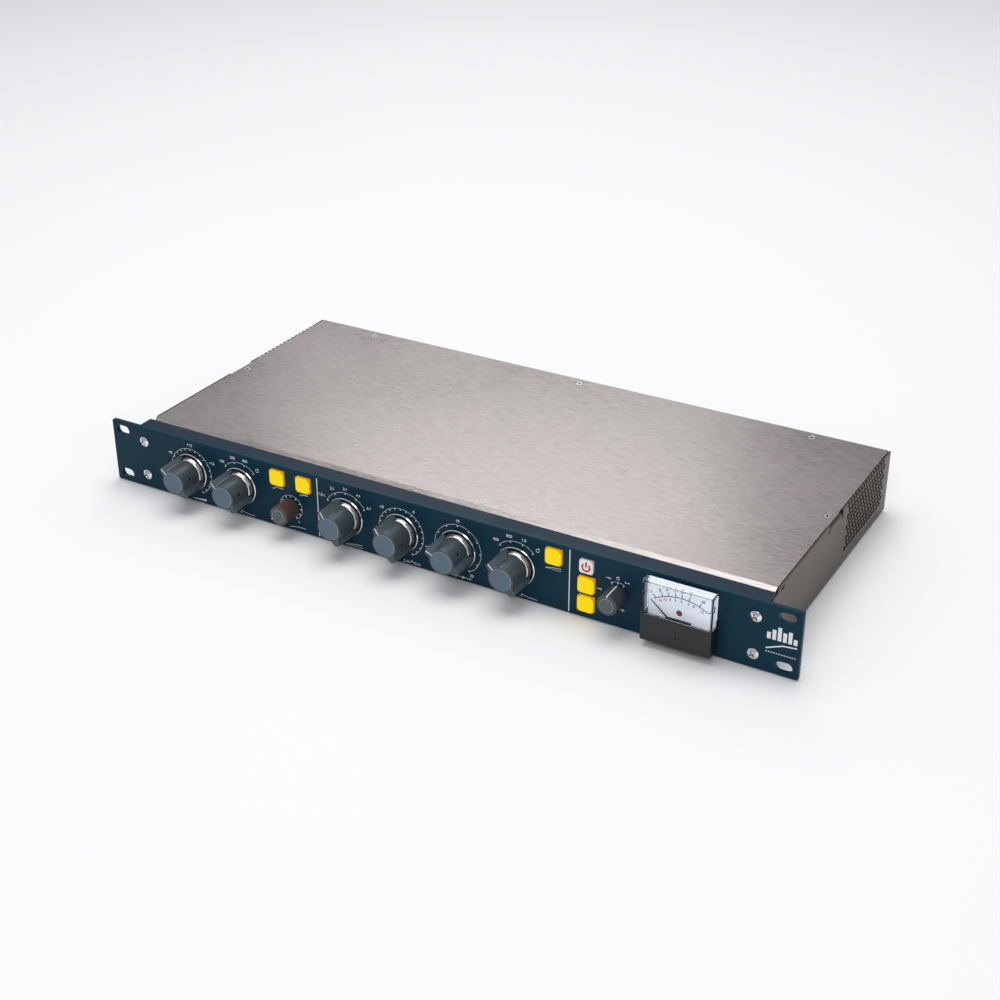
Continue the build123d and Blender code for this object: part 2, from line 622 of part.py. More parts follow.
def meter_dial():
    """Dial plate, bent metal, with a slot for the pivot."""
    width = WINDOW_W - 2 * WINDOW_WALL - 0.4
    low = METER_BOTTOM + 4.0
    high = METER_TOP - WINDOW_WALL - 0.2
    plate = Pos(0, (low + high) / 2, 2.8) * Box(width, high - low, 0.6)
    return plate - Pos(0, METER_PIVOT_Z, 2.8) * Cylinder(1.6, 2)


def meter_movement():
    """Moving-coil movement: magnet yoke in the tub and the black cover over the pivot."""
    yoke_back = 1.5 - METER_CASE_DEPTH
    yoke_length = 1.7 - yoke_back
    yoke = Pos(0, METER_PIVOT_Z + 8.0, yoke_back + yoke_length / 2) * (Cylinder(9.0, yoke_length) - Cylinder(4.5, 30))
    cover_low = METER_PIVOT_Z - 3.5
    cover_high = METER_SPLIT - 0.5
    cover = Pos(0, (cover_low + cover_high) / 2, 5.95) * Box(15.4, cover_high - cover_low, 0.9)
    legs = [Pos(s * 7.2, cover_low + 0.5, 4.3) * Box(1.0, 1.0, 2.4) for s in (-1, 1)]
    return [yoke, cover + legs]


def meter_needle():
    """Pointer, hub and balance tail on one pivot pin."""
    a = radians(NEEDLE_ANGLE)
    along = (cos(a), sin(a))
    across = (-sin(a), cos(a))
    corners = []
    for distance, half_width in ((-4.5, 0.9), (NEEDLE_LENGTH, 0.22), (NEEDLE_LENGTH, -0.22), (-4.5, -0.9)):
        x = along[0] * distance + across[0] * half_width
        y = along[1] * distance + across[1] * half_width
        corners.append((x, y))
    blade = Pos(0, METER_PIVOT_Z, NEEDLE_HEIGHT) * extrude(make_face(Polyline(*corners, close=True)), 0.3)
    hub = Pos(0, METER_PIVOT_Z, NEEDLE_HEIGHT) * Cylinder(1.4, 1.2)
    pin = Pos(0, METER_PIVOT_Z, 3.2) * Cylinder(0.5, 2.8)
    return blade + hub + pin


def zero_screw():
    head = Pos(0, ZERO_SCREW_Z, METER_PROUD - 1.3) * Cylinder(2.05, 1.6)
    slot = Pos(0, ZERO_SCREW_Z, METER_PROUD - 0.5) * Rot(0, 0, 80) * Box(4.4, 0.7, 1.0)
    return head - slot


def write_meter():
    pieces = {
        "meter_case": [meter_case()],
        "meter_window": [meter_window()],
        "meter_bezel": [meter_bezel()],
        "meter_dial": [meter_dial()],
        "meter_movement": meter_movement(),
        "meter_needle": [meter_needle()],
        "meter_zero_screw": [zero_screw()],
    }
    for node, solids in pieces.items():
        save(node, *[front_local(s, METER_X, 0) for s in solids])


# ---------------------------------------------------------------- rear fittings
def rear_local(shape, x, z=REAR_Z):
    """Places a shape drawn with +Z out of the back and +Y up, at (x, z) on the rear panel's outer face."""
    return Pos(x, CHASSIS_REAR, z) * Rot(-90, 0, 0) * Rot(0, 0, 180) * shape


def iec_inlet():
    """Mains inlet: screw flange, shell with a keyed cavity, and three blades."""
    flange = Pos(0, 0, 1.0) * Box(48, 22.4, 2.0)
    flange = fillet(flange.edges().filter_by(Axis.Z), 3.0)
    shell = Pos(0, 0, -12) * Box(27, 20, 24)
    cavity = Pos(0, 0, -8) * Box(24, 16.6, 22)
    keys = [Pos(s * 12, -8.3, -8) * Rot(0, 0, 45) * Box(5, 5, 22) for s in (-1, 1)]
    blades = [Pos(dx, dy, -13) * Box(2.0, 4.0, 14) for dx, dy in ((-7, -1.5), (0, 3), (7, -1.5))]
    tails = [Pos(dx, dy, -27) * Box(0.8, 4.0, 7) for dx, dy in ((-7, -1.5), (0, 3), (7, -1.5))]
    holes = [Pos(s * IEC_SCREW_X, 0, 2.0) * flush_screw_hole() for s in (-1, 1)]
    return flange + shell - (cavity - keys) - holes + blades + tails


def xlr_shell():
    """Flange and barrel of a three-pin chassis connector."""
    flange = Pos(0, 0, 1.0) * Box(26, 31, 2.0)
    flange = fillet(flange.edges().filter_by(Axis.Z), 2.0)
    barrel = Pos(0, 0, -10) * Cylinder(11.8, 20)
    holes = [Pos(dx, dz, 2.0) * flush_screw_hole() for dx, dz in XLR_SCREWS]
    return flange + barrel - holes


def xlr_pin_places():
    return [Rot(0, 0, a) * Pos(5.0, 0, 0) for a in (90, 210, 330)]


def xlr_female():
    ring = Pos(0, 0, -4) * (Cylinder(9.6, 14) - Cylinder(8.2, 14))
    return xlr_shell() - ring - [p * Pos(0, 0, -2) * Cylinder(1.35, 10) for p in xlr_pin_places()]


def xlr_male():
    shell = xlr_shell() - Pos(0, 0, -6.5) * Cylinder(9.6, 19)
    return shell + [p * Pos(0, 0, -11.5) * Cylinder(1.2, 11) for p in xlr_pin_places()]


def fuse_holder():
    cap = Pos(0, 0, 4.5) * Cylinder(7.5, 5) + Pos(0, 0, 1) * Cylinder(8.5, 2)
    cap = cap - Pos(0, 0, 7.2) * Box(9, 1.4, 1.6)
    tube = Pos(0, 0, -14) * Cylinder(6.2, 28)
    return cap + tube


def power_switch():
    """Rocker switch body with its bezel, and the rocker, resting tilted to its on side."""
    bezel = Pos(0, 0, 0.9) * Box(22, 15.6, 1.8)
    bezel = fillet(bezel.edges().filter_by(Axis.Z), 1.2)
    body = bezel + Pos(0, 0, -8) * Box(19, 12.8, 16)
    body = body - Pos(0, 0, -1) * Box(15.6, 9.8, 11)
    body = body + [Pos(dx, 0, -19) * Box(0.8, 4.8, 6) for dx in (-5, 5)]
    pads = [Pos(s * 3.5, 0, 2.2) * Rot(0, -s * 9, 0) * Box(7.2, 9.2, 2.0) for s in (-1, 1)]
    hub = Rot(90, 0, 0) * Cylinder(3.4, 9.2)
    rocker = Rot(0, ROCKER_TILT, 0) * (pads[0] + pads[1] + hub)
    return body, rocker


# ---------------------------------------------------------------- inside
def main_board():
    board = box_between((-205, 24, BOARD_Z), (72, 131, BOARD_Z + 1.6))
    holes = [upright_disc(1.6, BOARD_Z - 1, BOARD_Z + 3, x, y) for x, y in STANDOFFS]
    chips = []
    for column in range(7):
        for row in range(3):
            x = -180 + column * 36
            y = 48 + row * 28
            chips.append(box_between((x, y, BOARD_Z + 1.6), (x + 10, y + 6.4, BOARD_Z + 5.0)))
    return board - holes + chips


def board_standoffs():
    solids = []
    for x, y in STANDOFFS:
        pillar = upright_disc(2.8, TRAY_FLOOR, BOARD_Z, x, y) + upright_disc(1.55, BOARD_Z, BOARD_Z + 1.6, x, y)
        head = upright_disc(2.8, BOARD_Z + 1.6, BOARD_Z + 3.6, x, y)
        solids.append(pillar + head)
    return solids


def mains_transformer():
    """Toroid with a mounting disc and bolt."""
    ring = Pos(TOROID_X, TOROID_Y, -4.5) * (Cylinder(36, 31) - Cylinder(12, 31))
    ring = fillet(ring.edges().filter_by(GeomType.CIRCLE), 5.0)
    disc = upright_disc(24, 11.0, 12.4, TOROID_X, TOROID_Y)
    bolt = upright_disc(3.0, TRAY_FLOOR, 16.0, TOROID_X, TOROID_Y)
    return [ring, disc + bolt]


def audio_transformers():
    """Three screened cans on the floor behind the board."""
    solids = []
    for x in (-185, -140, -95):
        can = box_between((x - 17, 140, TRAY_FLOOR), (x + 17, 170, 12))
        solids.append(fillet(can.edges().filter_by(Axis.Z), 2.5))
    return solids


def filter_capacitors():
    solids = []
    top = 15.0
    for x, y in ((-40, 150), (-12, 150), (16, 150), (44, 150), (72, 150)):
        can = upright_disc(10.5, TRAY_FLOOR, top, x, y)
        can = fillet(can.faces().sort_by(Axis.Z)[-1].edges(), 0.8)
        vents = [Pos(x, y, top) * Rot(0, 0, a) * Box(12, 0.5, 0.5) for a in (0, 90)]
        solids.append(can - vents)
    return solids


def write_chassis():
    save("front_panel", front_panel())
    save("front_subframe", front_subframe())
    save("chassis_tray", chassis_tray())
    save("rear_panel", rear_panel())
    save("top_cover", top_cover())
    screw = flush_screw(7.0)
    save("cover_screws", *[Pos(x, y, COVER_TOP) * screw for x, y in cover_screw_places()])
    save("panel_screws", *panel_screws())
    save("chassis_screws", *chassis_screws())


def write_rear():
    save("mains_inlet", rear_local(iec_inlet(), IEC_X))
    save("audio_in_socket", rear_local(xlr_female(), XLR_X[0]))
    save("audio_out_socket", rear_local(xlr_male(), XLR_X[1]))
    save("fuse_holder", rear_local(fuse_holder(), FUSE_X))
    body, rocker = power_switch()
    save("power_switch_body", rear_local(body, ROCKER_X))
    save("power_rocker", rear_local(rocker, ROCKER_X))


def write_inside():
    save("main_board", main_board())
    save("board_standoffs", *board_standoffs())
    save("mains_transformer", *mains_transformer())
    save("audio_transformers", *audio_transformers())
    save("filter_capacitors", *filter_capacitors())


os.makedirs("parts", exist_ok=True)
write_chassis()
write_controls()
write_buttons()
write_meter()
write_rear()
write_inside()
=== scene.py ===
"""Looks of the rack compressor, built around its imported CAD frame.

Metres. +X is to the right seen from the front, +Y runs back into the rack, +Z is up. Dial angles are degrees
anticlockwise from +X, seen from the front.
"""

import math

import bmesh
import bpy
from mathutils import Euler, Matrix, Vector


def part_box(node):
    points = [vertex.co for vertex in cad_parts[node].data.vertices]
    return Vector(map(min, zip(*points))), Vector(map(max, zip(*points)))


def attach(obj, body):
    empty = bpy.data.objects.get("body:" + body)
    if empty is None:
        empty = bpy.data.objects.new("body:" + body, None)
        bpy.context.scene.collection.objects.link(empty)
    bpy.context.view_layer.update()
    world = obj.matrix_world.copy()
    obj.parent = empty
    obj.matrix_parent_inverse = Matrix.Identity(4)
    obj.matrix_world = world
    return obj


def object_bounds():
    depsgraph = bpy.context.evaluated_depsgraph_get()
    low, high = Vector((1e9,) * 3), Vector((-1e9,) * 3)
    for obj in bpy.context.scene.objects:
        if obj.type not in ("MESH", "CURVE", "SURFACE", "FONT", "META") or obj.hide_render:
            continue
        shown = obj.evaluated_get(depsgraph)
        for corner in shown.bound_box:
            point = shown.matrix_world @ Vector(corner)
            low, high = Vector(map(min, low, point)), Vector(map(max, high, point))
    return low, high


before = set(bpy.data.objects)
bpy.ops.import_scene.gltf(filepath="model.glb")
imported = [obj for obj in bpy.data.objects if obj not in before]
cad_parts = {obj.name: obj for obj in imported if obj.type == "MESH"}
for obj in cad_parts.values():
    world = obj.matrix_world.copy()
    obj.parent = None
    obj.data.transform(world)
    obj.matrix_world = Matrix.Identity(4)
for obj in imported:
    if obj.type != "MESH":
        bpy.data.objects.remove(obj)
cad_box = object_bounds()

MM = 0.001
ROOT = "chassis"

# ---- Camera: place, angles in degrees, lens and sensor in millimetres ----
CAMERA_PLACE = (0.47829, -0.74831, 0.5085)
CAMERA_AZIMUTH = 29.68
CAMERA_ELEVATION = 28.61
CAMERA_LENS = 60.77
CAMERA_SENSOR = 36.0

# ---- Printing on the panel ----
PRINT_T = 0.04 * MM
LINE_W = 0.22 * MM
TICK_W = 0.62 * MM
DIAL_R = 16.1 * MM
TICK_INNER_R = 14.9 * MM
TICK_OUTER_R = 16.2 * MM
NUMBER_R = 18.8 * MM
NUMBER_SIZE = 2.7 * MM
LABEL_Z = -19.3 * MM


# ---------------------------------------------------------------- shaders
class Shader:
    """A Principled material, with short ways to add the nodes that vary it."""

    def __init__(self, name, **sockets):
        self.material = bpy.data.materials.new(name)
        self.material.use_nodes = True
        self.tree = self.material.node_tree
        self.surface = self.tree.nodes["Principled BSDF"]
        for socket, value in sockets.items():
            self.surface.inputs[socket.replace("_", " ")].default_value = value

    def node(self, kind, **inputs):
        made = self.tree.nodes.new(kind)
        for name, value in inputs.items():
            socket = made.inputs[name.replace("_", " ")]
            if isinstance(value, bpy.types.NodeSocket):
                self.tree.links.new(value, socket)
            else:
                socket.default_value = value
        return made

    def feed(self, socket, output):
        self.tree.links.new(output, self.surface.inputs[socket])

    def place(self, stretch=(1, 1, 1), shift=(0, 0, 0)):
        """The surface point in the piece's own coordinates, in metres, moved and then stretched."""
        own = self.node("ShaderNodeTexCoord").outputs["Object"]
        moved = self.node("ShaderNodeVectorMath", Vector=own)
        moved.operation = "SUBTRACT"
        moved.inputs[1].default_value = shift
        scaled = self.node("ShaderNodeVectorMath", Vector=moved.outputs[0])
        scaled.operation = "MULTIPLY"
        scaled.inputs[1].default_value = stretch
        return scaled.outputs[0]

    def noise(self, stretch, detail=2.0, roughness=0.5):
        """Noise from 0 to 1. stretch is how many features there are to a metre, along each axis."""
        if not isinstance(stretch, tuple):
            stretch = (stretch, stretch, stretch)
        where = self.place(stretch)
        texture = self.node("ShaderNodeTexNoise", Vector=where, Detail=detail, Roughness=roughness)
        texture.inputs["Scale"].default_value = 1.0
        return texture.outputs["Fac"]

    def spread(self, value, low, high, start=0.0, end=1.0):
        """value from start..end, spread over low..high and held there."""
        ranged = self.node("ShaderNodeMapRange", Value=value)
        ranged.inputs["From Min"].default_value = start
        ranged.inputs["From Max"].default_value = end
        ranged.inputs["To Min"].default_value = low
        ranged.inputs["To Max"].default_value = high
        return ranged.outputs["Result"]

    def math(self, operation, a, b=0.0):
        made = self.tree.nodes.new("ShaderNodeMath")
        made.operation = operation
        for socket, value in zip(made.inputs, (a, b)):
            if isinstance(value, bpy.types.NodeSocket):
                self.tree.links.new(value, socket)
            else:
                socket.default_value = value
        return made.outputs[0]

    def mix(self, factor, first, second):
        """A colour between two, each a colour or another node's output."""
        made = self.tree.nodes.new("ShaderNodeMix")
        made.data_type = "RGBA"
        for name, value in (("Factor", factor), ("A", first), ("B", second)):
            kind = "VALUE" if name == "Factor" else "RGBA"
            socket = [s for s in made.inputs if s.name == name and s.type == kind][0]
            if isinstance(value, bpy.types.NodeSocket):
                self.tree.links.new(value, socket)
            else:
                socket.default_value = (*value, 1.0) if name != "Factor" else value
        return [s for s in made.outputs if s.type == "RGBA"][0]

    def bump(self, height, depth, strength=1.0):
        """Relief of the given depth in metres."""
        made = self.node("ShaderNodeBump", Height=height)
        made.inputs["Strength"].default_value = strength
        made.inputs["Distance"].default_value = depth
        self.feed("Normal", made.outputs["Normal"])
        return made

    def openness(self, reach):
        """1 on open surfaces, falling towards 0 in corners and recesses narrower than reach."""
        probe = self.node("ShaderNodeAmbientOcclusion", Distance=reach)
        probe.samples = 8
        return probe.outputs["AO"]

    def edges(self, size):
        """1 on sharp edges, falling to 0 on surface further than size from one."""
        rounded = self.tree.nodes.new("ShaderNodeBevel")
        rounded.samples = 8
        rounded.inputs["Radius"].default_value = size
        flat = self.tree.nodes.new("ShaderNodeNewGeometry")
        agreement = self.tree.nodes.new("ShaderNodeVectorMath")
        agreement.operation = "DOT_PRODUCT"
        self.tree.links.new(rounded.outputs["Normal"], agreement.inputs[0])
        self.tree.links.new(flat.outputs["Normal"], agreement.inputs[1])
        return self.spread(agreement.outputs["Value"], 1.0, 0.0, 0.86, 0.99)

    def soften_edges(self, size, bump=None):
        """Shades sharp edges as if they were rounded, on top of any relief already made."""
        rounded = self.tree.nodes.new("ShaderNodeBevel")
        rounded.samples = 4
        rounded.inputs["Radius"].default_value = size
        self.tree.links.new(rounded.outputs["Normal"], (bump or self.surface).inputs["Normal"])

    def radius(self, centre, axis="Y"):
        """Distance from a line along axis through centre."""
        keep = {"X": (0, 1, 1), "Y": (1, 0, 1), "Z": (1, 1, 0)}[axis]
        length = self.node("ShaderNodeVectorMath", Vector=self.place(keep, centre))
        length.operation = "LENGTH"
        return length.outputs["Value"]

    def along(self, axis, shift=0.0):
        """One coordinate of the surface point, counted from shift."""
        split = self.node("ShaderNodeSeparateXYZ", Vector=self.place())
        return self.math("SUBTRACT", split.outputs[axis], shift)


def shade(colour, factor):
    return tuple(min(1.0, c * factor) for c in colour)


def powder_coat(name, colour, roughness=0.4, contrast=0.16):
    """Satin paint: orange-peel relief, slow drift in tone, faint handling marks in the gloss."""
    s = Shader(name, Specular_IOR_Level=0.1)
    drift = s.noise(14, 3)
    speck = s.noise(1500, 2)
    tone = s.math("ADD", s.math("MULTIPLY", drift, 0.7), s.math("MULTIPLY", speck, 0.3))
    s.feed("Base Color", s.mix(tone, shade(colour, 1 - contrast), shade(colour, 1 + contrast)))
    marks = s.noise((35, 60, 35), 4, 0.6)
    s.feed("Roughness", s.spread(marks, roughness - 0.05, roughness + 0.06, 0.3, 0.7))
    s.bump(s.noise(2200, 2), 0.012 * MM)
    return s.material


def brushed_metal(name, colour, grain, roughness=0.34, metallic=0.85, contrast=0.16):
    """Fine brushed sheet, with painted shade in its corners and recesses. grain is the streaks to a metre
    along each axis, fewest along the brushing.
    """
    s = Shader(name, Metallic=metallic)
    broken = tuple(g * 2.3 for g in grain)
    long_streaks = s.noise(grain, 3, 0.6)
    short_streaks = s.noise(broken, 2, 0.6)
    streaks = s.math("ADD", s.math("MULTIPLY", long_streaks, 0.55), s.math("MULTIPLY", short_streaks, 0.45))
    clouds = s.noise(11, 3, 0.55)
    tone = s.math("ADD", s.math("MULTIPLY", streaks, 0.8), s.math("MULTIPLY", clouds, 0.2))
    tone = s.spread(tone, 0.0, 1.0, 0.36, 0.64)
    sheet = s.mix(tone, shade(colour, 1 - contrast), shade(colour, 1 + contrast))
    # Painted shade: the colour falls to a dark copy in corners and recesses.
    clear_of_painted_shade = s.spread(s.openness(1.2 * MM), 0.0, 1.0, 0.3, 0.75)
    s.feed("Base Color", s.mix(clear_of_painted_shade, shade(colour, 0.12), sheet))
    wear = s.math("MULTIPLY", streaks, clouds)
    s.feed("Roughness", s.spread(wear, roughness - 0.04, roughness + 0.06, 0.12, 0.4))
    s.bump(streaks, 0.003 * MM)
    return s.material


def moulded_plastic(name, colour, roughness=0.4, contrast=0.12, relief=0.006, edge=0.0):
    """Moulded plastic with a fine spark-eroded grain and a slight drift in tone. Given an edge size, its
    sharp edges get a painted highlight and are shaded as if rounded.
    """
    s = Shader(name)
    drift = s.noise(90, 3)
    grain = s.noise(3800, 2)
    tone = s.math("ADD", s.math("MULTIPLY", drift, 0.6), s.math("MULTIPLY", grain, 0.4))
    body = s.mix(tone, shade(colour, 1 - contrast), shade(colour, 1 + contrast))
    if edge:
        # Painted highlight: sharp edges lightened towards a bright copy of the colour.
        body = s.mix(s.edges(edge), body, shade(colour, 2.6))
    s.feed("Base Color", body)
    s.feed("Roughness", s.spread(grain, roughness - 0.05, roughness + 0.05, 0.3, 0.7))
    bump = s.bump(grain, relief * MM)
    if edge:
        s.soften_edges(edge, bump)
    return s.material


def cap_plastic(name, centre, radius, colour):
    """Printed disc of a knob: satin plastic whose rim is painted paler, a painted highlight along its rounded
    edge.
    """
    s = Shader(name)
    grain = s.noise(3800, 2)
    face = s.mix(s.noise(110, 3), shade(colour, 0.92), shade(colour, 1.08))
    # Painted highlight: the face turns pale towards the rim.
    rim = s.spread(s.radius(centre), 0.0, 0.75, radius - 0.5 * MM, radius - 0.2 * MM)
    s.feed("Base Color", s.mix(rim, face, (0.29, 0.35, 0.39)))
    s.feed("Roughness", s.spread(grain, 0.37, 0.47, 0.3, 0.7))
    s.soften_edges(0.25 * MM, s.bump(grain, 0.006 * MM))
    return s.material


def ribbed_plastic(name, centre, groove, rib, ribs=30):
    """Moulded plastic round a knob's axis, with painted shade darkening the grooves between its ribs."""
    s = Shader(name, Roughness=0.32)
    split = s.node("ShaderNodeSeparateXYZ", Vector=s.place((1, 1, 1), centre))
    turn = s.math("ARCTAN2", split.outputs["Z"], split.outputs["X"])
    wave = s.math("COSINE", s.math("MULTIPLY", turn, float(ribs)))
    # Painted shade: the colour falls towards a near-black copy in the grooves between the ribs.
    between = s.spread(wave, 0.0, 1.0, -0.1, 0.8)
    drift = s.mix(s.noise(160, 3), shade(rib, 0.8), shade(rib, 1.2))
    s.feed("Base Color", s.mix(between, drift, groove))
    s.bump(s.noise(3800, 2), 0.006 * MM)
    return s.material


def polished_metal(name, colour, roughness=0.12, metallic=1.0):
    """Bright plated metal with faint turning or handling marks, and painted shade in its corners and
    recesses.
    """
    s = Shader(name, Metallic=metallic)
    marks = s.noise((300, 900, 300), 3, 0.6)
    metal = s.mix(marks, shade(colour, 0.9), shade(colour, 1.06))
    # Painted shade: the colour falls to a near-black copy in corners and recesses.
    clear_of_painted_shade = s.spread(s.openness(1.0 * MM), 0.0, 1.0, 0.35, 0.8)
    s.feed("Base Color", s.mix(clear_of_painted_shade, shade(colour, 0.03), metal))
    s.feed("Roughness", s.spread(marks, roughness * 0.7, roughness * 1.5, 0.3, 0.7))
    s.bump(marks, 0.002 * MM)
    return s.material


def spindle_metal(name, centre):
    """Black skirt face with a bright turned edge, and a polished boss, told apart by radius."""
    s = Shader(name, Specular_IOR_Level=0.15)
    r = s.radius(centre)
    rings = s.node("ShaderNodeTexWave", Vector=s.place((1, 1, 1), centre), Scale=900.0, Distortion=0.4)
    rings.wave_type = "RINGS"
    rings.rings_direction = "Y"
    outside_boss = s.spread(r, 0.0, 1.0, 10.28 * MM, 10.36 * MM)
    inside_edge = s.spread(r, 1.0, 0.0, 12.26 * MM, 12.34 * MM)
    painted = s.math("MULTIPLY", outside_boss, inside_edge)
    turned = s.mix(rings.outputs["Fac"], (0.74, 0.75, 0.76), (0.90, 0.91, 0.92))
    black = s.mix(s.noise(700, 3), (0.006, 0.007, 0.008), (0.014, 0.016, 0.018))
    s.feed("Base Color", s.mix(painted, turned, black))
    s.feed("Metallic", s.spread(painted, 1.0, 0.0))
    on_boss = s.math("SUBTRACT", 1.0, outside_boss)
    s.feed("Roughness", s.math("ADD", s.spread(painted, 0.14, 0.6), s.math("MULTIPLY", on_boss, 0.12)))
    s.bump(rings.outputs["Fac"], 0.003 * MM)
    return s.material


def painted_glow_lens(name, centre, half, bright, edge, glow, base):
    """Push-button cap with painted light from its own emission, which keeps its face and sides bright: bright
    in the middle of its face, deeper in colour towards its edges.
    """
    s = Shader(name, Roughness=0.3, Specular_IOR_Level=0.15)
    sides = s.node("ShaderNodeSeparateXYZ", Vector=s.place((1, 1, 1), centre))
    across = s.math("ABSOLUTE", sides.outputs["X"])
    up = s.math("ABSOLUTE", sides.outputs["Z"])
    reach = s.math("MAXIMUM", across, up)
    corner = s.math("MULTIPLY", s.math("ADD", across, up), 0.62)
    reach = s.math("MAXIMUM", reach, corner)
    uneven = s.spread(s.noise(260, 2), -0.08 * MM, 0.08 * MM, 0.3, 0.7)
    rim = s.spread(s.math("ADD", reach, uneven), 0.0, 1.0, half - 0.45 * MM, half + 0.05 * MM)
    colour = s.mix(rim, bright, edge)
    s.feed("Base Color", s.mix(rim, shade(bright, base), shade(edge, base)))
    # Painted light: emission stands in for the light falling on the cap.
    s.feed("Emission Color", colour)
    s.feed("Emission Strength", s.spread(rim, glow, glow * 0.75))
    s.bump(s.noise(1800, 2), 0.004 * MM)
    return s.material


def clear_plastic(name, tint=(0.93, 0.96, 0.98)):
    """Clear acrylic moulding with a few rubbed streaks in its polish."""
    s = Shader(name, Transmission_Weight=1.0, IOR=1.3, Specular_IOR_Level=0.3)
    s.feed("Base Color", s.mix(s.noise(60, 2), shade(tint, 0.985), tint))
    s.feed("Roughness", s.spread(s.noise((180, 180, 30), 4, 0.7), 0.0, 0.05, 0.45, 0.75))
    return s.material


def print_ink(name, colour, roughness=0.5):
    """Screen-printed ink, a little uneven."""
    s = Shader(name, Roughness=roughness)
    s.feed("Base Color", s.mix(s.noise(2500, 3, 0.7), shade(colour, 0.84), colour))
    return s.material


def dial_paint(name, colour, glow):
    """Matt paint brightened by painted light from its own emission, in place of light the window holds back,
    uneven across the dial.
    """
    s = Shader(name, Roughness=0.6)
    paint = s.mix(s.noise(45, 2), shade(colour, 0.95), colour)
    s.feed("Base Color", paint)
    # Painted light: emission brightens the dial beyond the light reaching it.
    s.feed("Emission Color", paint)
    s.feed("Emission Strength", s.spread(s.noise(30, 2), glow * 0.8, glow * 1.2, 0.3, 0.7))
    return s.material


def taped_winding(name, colour):
    """Overlapping turns of tape round a toroid."""
    centre = middle("mains_transformer")
    s = Shader(name, Roughness=0.3)
    split = s.node("ShaderNodeSeparateXYZ", Vector=s.place((1, 1, 1), centre))
    turn = s.math("ARCTAN2", split.outputs["Y"], split.outputs["X"])
    overlap = s.math("FRACT", s.math("MULTIPLY", turn, 9.0))
    s.feed("Base Color", s.mix(overlap, shade(colour, 0.7), shade(colour, 1.15)))
    s.bump(overlap, 0.1 * MM)
    return s.material


# ---------------------------------------------------------------- shapes
def middle(node):
    low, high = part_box(node)
    return Vector((a + b) / 2 for a, b in zip(low, high))


def polar(centre, radius, degrees):
    angle = math.radians(degrees)
    return (centre[0] + radius * math.cos(angle), centre[1] + radius * math.sin(angle))


